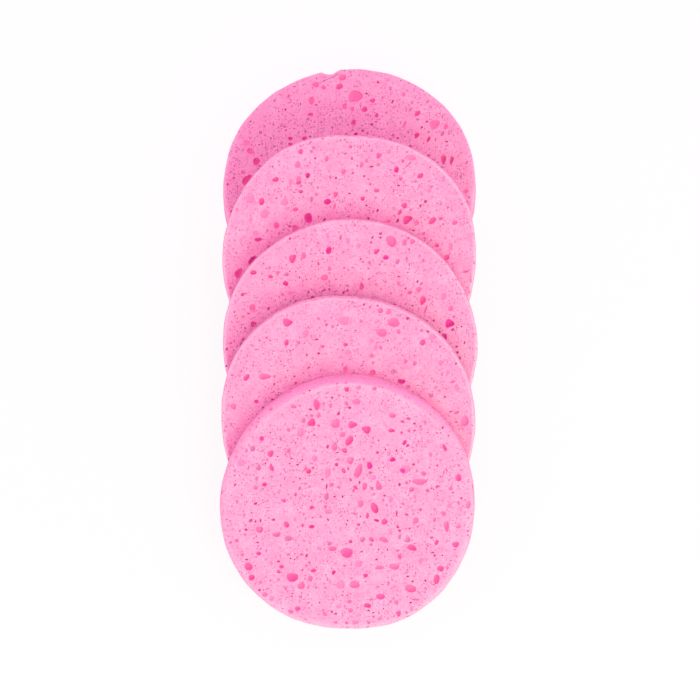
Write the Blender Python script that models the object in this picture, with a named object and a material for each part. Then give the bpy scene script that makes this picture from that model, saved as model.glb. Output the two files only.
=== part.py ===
"""Five round cellulose facial sponges, set out in an overlapping row.

Each sponge is one disc, die-cut from a slab of cellulose foam: a slightly uneven
outline, a softly rounded upper rim, a crisper lower rim, and open pores that the foam
was full of when it was cut.  The rear sponge lies flat on the table.  Each of the
others leans on the one behind it, with its front edge on the table, like a shingle.

Units are metres and +Z is up.  The row runs along Y, its front towards -Y, and the
origin is the centre of the row's box at table height.
"""
import math
import random

import bmesh
import bpy
from mathutils import Matrix, Vector

MM = 0.001

# The sponge, before it is given its own outline
SPONGE_DIAMETER = 75.0 * MM
SPONGE_THICKNESS = 8.0 * MM
UPPER_RIM_ROUNDING = 1.6 * MM
LOWER_RIM_ROUNDING = 0.6 * MM
WALL_DRAFT = 0.4 * MM
OUTLINE_SEGMENTS = 60
UPPER_RIM_SEGMENTS = 3
LOWER_RIM_SEGMENTS = 2

# The row: how far each front edge lies in front of the one behind it, on the table
SECOND_STEP = 22.5 * MM
MIDDLE_STEP = 26.0 * MM
FOURTH_STEP = 23.4 * MM
FRONT_STEP = 24.3 * MM
SEAT_GAP = 0.3 * MM

# How far each sponge sits to the right (+X) of the row's middle line
REAR_SHIFT = -0.2 * MM
SECOND_SHIFT = 0.15 * MM
MIDDLE_SHIFT = 0.45 * MM
FOURTH_SHIFT = -0.15 * MM
FRONT_SHIFT = -0.5 * MM

# Open pores: widths at the surface, and the foam left standing between two of them
LARGE_PORE_WIDTH = 3.6 * MM
MEDIUM_PORE_WIDTH = 2.5 * MM
WALL_PORE_WIDTH = 2.2 * MM
PORE_WEB = 0.45 * MM
REST_PAD_WIDTH = 12.0 * MM

# A pore is an egg: its other widths are shares of the one above
PORE_DEPTH_SHARE = 0.85
PORE_SINK_SHARE = 0.3
PORE_LENGTH_SHARES = (0.85, 1.2)
PORE_SIDES = 8
PORE_RINGS = 5

# How many pores each face carries, counting those placed by hand
UPPER_PORES = 26
UNDERSIDE_PORES = 8
WALL_PORES = 6
TRIES_PER_PORE = 60
SCATTER_SEED = 20

# Outlines: the radius every 30 degrees, anticlockwise from +X, as shares of the
# nominal radius.  Pores: (right, rearward) places as shares of the nominal radius.
REAR_OUTLINE_SHARES = (
    1.012, 1.030, 1.014, 0.992, 0.987, 1.002, 0.994, 1.0, 1.0, 1.0, 1.0, 1.0)
REAR_LARGE_PORE_SHARES = (
    (0.07, 0.79), (0.16, 0.70), (-0.30, 0.76), (0.68, 0.56), (0.06, 0.54),
    (-0.79, 0.08), (-0.38, 0.43), (0.62, 0.40))
REAR_MEDIUM_PORE_SHARES = (
    (-0.07, 0.91), (-0.48, 0.79), (-0.05, 0.68), (0.54, 0.67), (-0.68, 0.49),
    (0.76, 0.26), (-0.70, 0.25), (0.20, 0.57))

SECOND_OUTLINE_SHARES = (
    0.996, 1.040, 1.022, 0.995, 1.028, 1.012, 1.003, 1.0, 1.0, 1.0, 1.0, 1.0)
SECOND_LARGE_PORE_SHARES = (
    (-0.34, 0.70), (0.37, 0.75), (-0.34, 0.37), (-0.77, 0.03), (-0.88, -0.08),
    (0.46, 0.36), (-0.15, 0.52))
SECOND_MEDIUM_PORE_SHARES = (
    (-0.39, 0.88), (0.23, 0.86), (-0.05, 0.72), (-0.56, 0.67), (-0.71, 0.49),
    (0.64, 0.34), (0.77, 0.05), (0.21, 0.58))

MIDDLE_OUTLINE_SHARES = (
    1.0, 0.998, 1.003, 1.0, 1.004, 1.018, 1.004, 1.0, 1.0, 1.0, 1.0, 1.0)
MIDDLE_LARGE_PORE_SHARES = (
    (0.30, 0.83), (-0.19, 0.76), (-0.52, 0.51), (0.77, 0.19), (-0.20, 0.59))
MIDDLE_MEDIUM_PORE_SHARES = (
    (-0.42, 0.71), (0.22, 0.73), (-0.64, 0.58), (0.55, 0.42), (-0.78, 0.32),
    (0.08, 0.48))

FOURTH_OUTLINE_SHARES = (
    0.996, 1.003, 0.990, 0.992, 1.032, 1.036, 0.998, 1.0, 1.0, 1.0, 1.0, 1.0)
FOURTH_LARGE_PORE_SHARES = (
    (-0.49, 0.80), (-0.04, 0.82), (0.36, 0.82), (-0.67, 0.38), (0.25, 0.72))
FOURTH_MEDIUM_PORE_SHARES = (
    (-0.03, 0.63), (0.62, 0.66), (0.14, 0.55), (0.41, 0.33), (-0.34, 0.80))

FRONT_OUTLINE_SHARES = (
    1.0, 1.015, 1.014, 1.020, 1.0, 0.990, 1.0, 1.012, 0.997, 0.976, 1.009, 1.008)
FRONT_LARGE_PORE_SHARES = (
    (0.15, 0.61), (0.08, 0.27), (0.56, 0.19), (-0.85, 0.34), (-0.57, -0.23),
    (-0.44, -0.57), (-0.03, -0.63), (0.49, -0.33), (0.22, -0.02), (0.49, -0.66))
FRONT_MEDIUM_PORE_SHARES = (
    (-0.25, 0.80), (-0.10, 0.66), (0.34, 0.60), (-0.68, 0.53), (-0.16, 0.26),
    (0.87, 0.22), (-0.15, -0.04), (0.79, -0.16), (-0.30, -0.17), (-0.01, -0.37),
    (-0.33, -0.40), (-0.77, -0.55), (0.14, -0.56), (0.26, -0.72), (0.70, -0.60),
    (0.44, 0.27), (-0.66, 0.16))

# name, step, shift, outline, large pores, medium pores, foam colour
SPONGES = (
    ("rear_sponge", None, REAR_SHIFT, REAR_OUTLINE_SHARES,
     REAR_LARGE_PORE_SHARES, REAR_MEDIUM_PORE_SHARES, "F5A3CE"),
    ("second_sponge", SECOND_STEP, SECOND_SHIFT, SECOND_OUTLINE_SHARES,
     SECOND_LARGE_PORE_SHARES, SECOND_MEDIUM_PORE_SHARES, "F8AED4"),
    ("middle_sponge", MIDDLE_STEP, MIDDLE_SHIFT, MIDDLE_OUTLINE_SHARES,
     MIDDLE_LARGE_PORE_SHARES, MIDDLE_MEDIUM_PORE_SHARES, "FAB4D8"),
    ("fourth_sponge", FOURTH_STEP, FOURTH_SHIFT, FOURTH_OUTLINE_SHARES,
     FOURTH_LARGE_PORE_SHARES, FOURTH_MEDIUM_PORE_SHARES, "FAB4D8"),
    ("front_sponge", FRONT_STEP, FRONT_SHIFT, FRONT_OUTLINE_SHARES,
     FRONT_LARGE_PORE_SHARES, FRONT_MEDIUM_PORE_SHARES, "FBBADC"),
)

FOAM_ROUGHNESS = 0.9


def clear_scene():
    for old in list(bpy.data.objects):
        bpy.data.objects.remove(old, do_unlink=True)


def linear_colour(hex_code):
    """An sRGB hex colour as the linear values that a shader takes."""
    channels = [int(hex_code[i:i + 2], 16) / 255 for i in (0, 2, 4)]
    return [c / 12.92 if c <= 0.04045 else ((c + 0.055) / 1.055) ** 2.4
            for c in channels] + [1.0]


def foam_material(name, hex_code):
    material = bpy.data.materials.new(name)
    material.use_nodes = True
    shader = material.node_tree.nodes["Principled BSDF"]
    shader.inputs["Base Color"].default_value = linear_colour(hex_code)
    shader.inputs["Roughness"].default_value = FOAM_ROUGHNESS
    shader.inputs["Metallic"].default_value = 0.0
    material.diffuse_color = linear_colour(hex_code)
    return material


def outline_radius(shares, angle):
    """The radius at an angle: a smooth closed curve through the outline's shares."""
    place = angle / math.tau * len(shares)
    first = math.floor(place)
    part = place - first
    before, start, end, after = (
        shares[(first + step) % len(shares)] for step in (-1, 0, 1, 2))
    leave = (end - before) / 2
    arrive = (after - start) / 2
    share = (start + leave * part
             + (3 * (end - start) - 2 * leave - arrive) * part ** 2
             + (2 * (start - end) + leave + arrive) * part ** 3)
    return SPONGE_DIAMETER / 2 * share


def outline_points(shares):
    angles = [math.tau * i / OUTLINE_SEGMENTS for i in range(OUTLINE_SEGMENTS)]
    return [outline_radius(shares, a) * Vector((math.cos(a), math.sin(a), 0))
            for a in angles]


def disc_mesh(name, outline):
    """The die-cut disc: an outline drawn up to its thickness, with rounded rims."""
    bm = bmesh.new()
    ring = [bm.verts.new(point) for point in outline]
    floor = bm.faces.new(ring)
    drawn = bmesh.ops.extrude_face_region(bm, geom=[floor])["geom"]
    top = [item for item in drawn if isinstance(item, bmesh.types.BMVert)]
    for vert in top:
        reach = vert.co.length
        vert.co *= (reach - WALL_DRAFT) / reach
        vert.co.z = SPONGE_THICKNESS
    bmesh.ops.recalc_face_normals(bm, faces=bm.faces)
    upper_rim = [e for e in bm.edges if all(v in top for v in e.verts)]
    lower_rim = [e for e in bm.edges if all(v in ring for v in e.verts)]
    bmesh.ops.bevel(bm, geom=upper_rim, offset=UPPER_RIM_ROUNDING, profile=0.5,
                    segments=UPPER_RIM_SEGMENTS, affect="EDGES")
    bmesh.ops.bevel(bm, geom=lower_rim, offset=LOWER_RIM_ROUNDING, profile=0.5,
                    segments=LOWER_RIM_SEGMENTS, affect="EDGES")
    mesh = bpy.data.meshes.new(name)
    bm.to_mesh(mesh)
    bm.free()
    mesh.shade_smooth()
    mesh.set_sharp_from_angle(angle=math.radians(40))
    return mesh


class PoreScatter:
    """The pores of one sponge, each kept clear of those already there."""

    def __init__(self, outline_shares, seed):
        self.shares = outline_shares
        self.chance = random.Random(seed)
        self.eggs = []

    def add(self, mouth, outward, width):
        """Add an egg that opens at mouth, unless it would break into another."""
        across = width / 2
        along = across * self.chance.uniform(*PORE_LENGTH_SHARES)
        depth = width * PORE_DEPTH_SHARE / (1 + PORE_SINK_SHARE)
        turn = self.chance.uniform(0, math.tau)
        centre = mouth - outward * depth * PORE_SINK_SHARE
        reach = max(across, along, depth)
        for other_centre, other_reach, _ in self.eggs:
            if (centre - other_centre).length < reach + other_reach + PORE_WEB:
                return False
        shape = (Matrix.Translation(centre)
                 @ outward.to_track_quat("Z", "Y").to_matrix().to_4x4()
                 @ Matrix.Rotation(turn, 4, "Z")
                 @ Matrix.Diagonal((across, along, depth, 1)))
        self.eggs.append((centre, reach, shape))
        return True

    def add_by_hand(self, places, width):
        for right, rearward in places:
            mouth = Vector((right, rearward, 0)) * SPONGE_DIAMETER / 2
            mouth.z = SPONGE_THICKNESS
            self.add(mouth, Vector((0, 0, 1)), width)

    def fill_face(self, height, outward, count, rim, keep_clear):
        """Scatter pores over a flat face, inside its rim and outside its middle."""
        added = 0
        for _ in range(count * TRIES_PER_PORE):
            if added >= count:
                break
            angle = self.chance.uniform(0, math.tau)
            width = self.chance.choice((LARGE_PORE_WIDTH, MEDIUM_PORE_WIDTH))
            furthest = outline_radius(self.shares, angle) - rim - width
            # the square root spreads the pores evenly over the face
            reach = furthest * math.sqrt(self.chance.random())
            if reach < keep_clear + width:
                continue
            mouth = Vector((reach * math.cos(angle), reach * math.sin(angle), height))
            added += self.add(mouth, outward, width)

    def fill_wall(self, count):
        added = 0
        for _ in range(count * TRIES_PER_PORE):
            if added >= count:
                break
            angle = self.chance.uniform(0, math.tau)
            outward = Vector((math.cos(angle), math.sin(angle), 0))
            mouth = outward * (outline_radius(self.shares, angle) - WALL_DRAFT / 2)
            mouth.z = SPONGE_THICKNESS / 2
            added += self.add(mouth, outward, WALL_PORE_WIDTH)

    def mesh(self, name):
        bm = bmesh.new()
        for _, _, shape in self.eggs:
            bmesh.ops.create_uvsphere(bm, u_segments=PORE_SIDES,
                                      v_segments=PORE_RINGS, radius=1, matrix=shape)
        mesh = bpy.data.meshes.new(name)
        bm.to_mesh(mesh)
        bm.free()
        return mesh


def sponge_pores(shares, large_places, medium_places, seed):
    pores = PoreScatter(shares, seed)
    pores.add_by_hand(large_places, LARGE_PORE_WIDTH)
    pores.add_by_hand(medium_places, MEDIUM_PORE_WIDTH)
    pores.fill_face(SPONGE_THICKNESS, Vector((0, 0, 1)), UPPER_PORES - len(pores.eggs),
                    UPPER_RIM_ROUNDING + WALL_DRAFT, 0)
    pores.fill_face(0, Vector((0, 0, -1)), UNDERSIDE_PORES,
                    LOWER_RIM_ROUNDING, REST_PAD_WIDTH / 2)
    pores.fill_wall(WALL_PORES)
    return pores


def lean_over(lean_behind, step, length):
    """The lean of a sponge whose front edge lies a step in front of the last one.

    It clears the front rim of the sponge behind it by the seat gap, and its own rear
    edge clears the upper face of that sponge by as much.  The larger lean holds.
    """
    run = Vector((math.cos(lean_behind), math.sin(lean_behind)))
    rise = Vector((-math.sin(lean_behind), math.cos(lean_behind)))
    rim_centre = (run * (UPPER_RIM_ROUNDING + WALL_DRAFT)
                  + rise * (SPONGE_THICKNESS - UPPER_RIM_ROUNDING))
    to_rim = rim_centre + Vector((step, 0))
    over_rim = (math.atan2(to_rim.y, to_rim.x)
                + math.asin((UPPER_RIM_ROUNDING + SEAT_GAP) / to_rim.length))
    rear_height = SPONGE_THICKNESS + SEAT_GAP - step * math.sin(lean_behind)
    onto_face = lean_behind + math.asin(rear_height / length)
    return max(over_rim, onto_face)


def underside_height(lean, front_reach):
    """How high the underside's middle is when the rounded front edge is on the table."""
    return ((front_reach - LOWER_RIM_ROUNDING) * math.sin(lean)
            + LOWER_RIM_ROUNDING * (1 - math.cos(lean)))


def build_row():
    row = bpy.data.objects.new("sponge_row", None)
    bpy.context.collection.objects.link(row)
    lean = 0.0
    front_edge = 0.0
    corners = []
    for index, (name, step, shift, shares, large, medium, colour) in enumerate(SPONGES):
        outline = outline_points(shares)
        rear_reach = max(point.y for point in outline)
        front_reach = -min(point.y for point in outline)
        if step is not None:
            lean = lean_over(lean, step, front_reach + rear_reach)
            front_edge -= step
        sponge = bpy.data.objects.new(name, disc_mesh(name, outline))
        sponge.data.materials.append(foam_material(name + "_foam", colour))
        sponge.location = (shift, front_edge + front_reach * math.cos(lean),
                           underside_height(lean, front_reach))
        sponge.rotation_euler.x = lean
        sponge.parent = row
        bpy.context.collection.objects.link(sponge)

        pores = sponge_pores(shares, large, medium, SCATTER_SEED + index)
        cutter = bpy.data.objects.new(name + "_pores", pores.mesh(name + "_pores"))
        cutter.parent = sponge
        cutter.hide_render = True
        cutter.display_type = "WIRE"
        bpy.context.collection.objects.link(cutter)
        cut = sponge.modifiers.new("open_pores", "BOOLEAN")
        cut.operation = "DIFFERENCE"
        cut.object = cutter

        place = sponge.matrix_basis
        corners += [place @ vert.co for vert in sponge.data.vertices]

    row.location.x = -(max(c.x for c in corners) + min(c.x for c in corners)) / 2
    row.location.y = -(max(c.y for c in corners) + min(c.y for c in corners)) / 2
    return row


clear_scene()
build_row()
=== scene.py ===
"""Looks for a row of five round cellulose facial sponges.

Every sponge is one piece of pink cellulose foam.  It is shaped as a disc with an uneven
outline and soft rims, and then opened with real pores of four sizes: those that stand
out in the photograph at their places, and the rest scattered over all its sides.
Lengths are metres, and sizes are written in millimetres times MM.
"""
import math
import random

import bmesh
import bpy
import numpy as np
from mathutils import Matrix, Vector, noise


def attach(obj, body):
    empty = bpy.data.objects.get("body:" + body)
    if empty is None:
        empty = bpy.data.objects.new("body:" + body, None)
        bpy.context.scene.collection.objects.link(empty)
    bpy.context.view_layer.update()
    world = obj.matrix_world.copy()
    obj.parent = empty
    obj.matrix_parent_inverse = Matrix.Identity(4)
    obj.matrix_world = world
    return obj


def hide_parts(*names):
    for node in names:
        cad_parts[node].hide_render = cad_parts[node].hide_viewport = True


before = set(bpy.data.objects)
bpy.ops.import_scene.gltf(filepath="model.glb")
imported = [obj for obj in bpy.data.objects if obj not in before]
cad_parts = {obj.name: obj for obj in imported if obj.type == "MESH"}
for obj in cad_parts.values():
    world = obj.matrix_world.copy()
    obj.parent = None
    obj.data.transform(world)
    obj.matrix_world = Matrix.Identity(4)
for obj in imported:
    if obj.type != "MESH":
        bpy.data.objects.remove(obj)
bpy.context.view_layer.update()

MM = 0.001

# The photograph's frame, and how it sees the row
IMAGE_SIDE = 700
PIXELS_PER_MM = 3.39
SENSOR_WIDTH_MM = 36.0
CAMERA_ELEVATION = math.radians(73.3)
CAMERA_DISTANCE = 3500 * MM
AIM_POINT = Vector((0.35 * MM, -3.9 * MM, 16 * MM))

# The sponge, as its solid has it
SPONGE_RADIUS = 37.5 * MM
SPONGE_THICKNESS = 8.0 * MM
UPPER_RIM_ROUNDINGS = {
    "rear_sponge": 1.2 * MM, "second_sponge": 0.8 * MM, "middle_sponge": 0.8 * MM,
    "fourth_sponge": 0.8 * MM, "front_sponge": 2.0 * MM}
UPPER_RIM_STEPS = 6
LOWER_RIM_ROUNDING = 0.6 * MM
LOWER_RIM_STEPS = 3
WALL_DRAFT = 0.4 * MM
OUTLINE_SEGMENTS = 200
FACE_GRID_SPAN = OUTLINE_SEGMENTS // 4
# Corners this near a height lie at it
HEIGHT_SLACK = 0.01 * MM
# Edges that turn by less than this are shaded smooth
SMOOTH_BELOW = math.radians(45)
# The least upward share of the normal of a solid's upper face
SOLID_FACES_UP = 0.8

# How far the foam's cut surface strays from true
WAVE_HEIGHT = 0.10 * MM
WAVE_LENGTH = 9.0 * MM
EDGE_WANDER = 0.18 * MM
EDGE_WANDER_LENGTH = 5.0 * MM

# Where the rim is torn: the angle in degrees, half the width there, and how far in.
# The higher the squareness, the steeper the sides of the tear
NICKS = {"rear_sponge": (98.3, 3.4, 1.2 * MM)}
NICK_SQUARENESS = 4

# A painted highlight, a paler line along the upper rim: how wide, and how strong
PALE_RIMS = {
    "rear_sponge": (0.7 * MM, 0.4), "second_sponge": (0.7 * MM, 1.0),
    "middle_sponge": (0.7 * MM, 1.0), "fourth_sponge": (0.7 * MM, 1.0),
    "front_sponge": (2.2 * MM, 0.5)}
# At the back of the front sponge, painted shade darkens the rounded rim and a painted
# highlight lightens its crest: how far in, the width over which that fades, and how pale its
# crest is
PAINTED_BACK_RIMS = {"front_sponge": (2.2 * MM, 0.8 * MM, 0.5)}

# Outline radius every 30 degrees, anticlockwise from +X, as shares of the radius
OUTLINE_SHARES = {
    "rear_sponge": (
        1.012, 1.030, 1.014, 0.992, 0.987, 1.002, 0.994, 1.0, 1.0, 1.0, 1.0, 1.0),
    "second_sponge": (
        0.996, 1.040, 1.022, 0.995, 1.028, 1.012, 1.003, 1.0, 1.0, 1.0, 1.0, 1.0),
    "middle_sponge": (
        1.0, 0.998, 1.003, 1.0, 1.004, 1.018, 1.004, 1.0, 1.0, 1.0, 1.0, 1.0),
    "fourth_sponge": (
        0.996, 1.003, 0.990, 0.992, 1.032, 1.036, 0.998, 1.0, 1.0, 1.0, 1.0, 1.0),
    "front_sponge": (
        1.0, 1.015, 1.014, 1.020, 1.0, 0.990, 1.0, 1.012, 0.997, 0.976, 1.009, 1.008),
}

# Pore classes: mouth widths from and to
PORE_CLASSES = {
    "large": (2.3 * MM, 3.8 * MM),
    "medium": (1.2 * MM, 2.3 * MM),
    "small": (0.65 * MM, 1.2 * MM),
    "tiny": (0.36 * MM, 0.65 * MM),
}
# How many of each class are scattered over each side of a sponge at most
SCATTER = {
    "top": {"large": 12, "medium": 80, "small": 110, "tiny": 620},
    "underside": {"large": 28, "medium": 105, "small": 240, "tiny": 260},
    "wall": {"medium": 40, "small": 120, "tiny": 240},
}
# The least foam left between two scattered pores, and how often one finds no room
# before it is given up
PORE_WEB = 0.1 * MM
TRIES_PER_PORE = 16
# Pores crowd in some places and are few in others: how far apart such places are, and
# how likely a pore is to stay, on average and by how crowded its place is
CLUSTER_SPACING = 8.0 * MM
STAY_CHANCE = 0.5
CROWDED_STAY_CHANCE = 1.3
# The share of its reach that a pore from the photograph keeps clear of scattered ones
SEEN_PORE_CLEARANCE = 0.8
# Mouths on the wall lie between these shares of the thickness, and every scattered
# mouth's width is between these shares of its length
WALL_BAND = (0.12, 0.8)
MOUTH_ROUNDNESS = (0.6, 1.0)
# How far toward the front the sponge on top lies, which hides what it covers
COVER_STEP = 24.0 * MM
# A mouth's middle stays this far inside the rim of the upper face
RIM_MARGIN = 0.1 * MM

# How a cell strays from an egg: the spread of its depth, how far it tips over and
# narrows to one end, how three-cornered its mouth is, and the height of its lumps
DEPTH_SPREAD = (0.85, 1.15)
MOST_TIP = 0.3
MOST_TAPER = 0.22
MOST_THREE_CORNERED = 0.12
LUMP_HEIGHT = 0.07
LUMP_WAVES = (2.6, 2.2, 3.4)
LUMP_DEPTH_SHARE = 0.6
# A mouth on a face that looks up at least this far keeps its turn in the photograph
MOUTH_FACES_UP = 0.9
# Pores that are cut at once are this many times their two reaches apart, and they are
# looked up in cubes whose side is this many times the greatest reach
BATCH_GAP = 1.05
BATCH_CUBE = 2.2

# How a pore's painted shade goes from its mouth to its floor, a hotter and darker pink
# deeper down: the share of its depth where the floor's colour is reached, the share of the
# heat that the mouth has, and how much of the pit's colour the mouth has, by its heat and at
# least
FLOOR_SHARE = 0.9
MOUTH_HEAT = 0.3
MOUTH_CRISPNESS = 1.25
LEAST_CRISPNESS = 0.25

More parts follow.
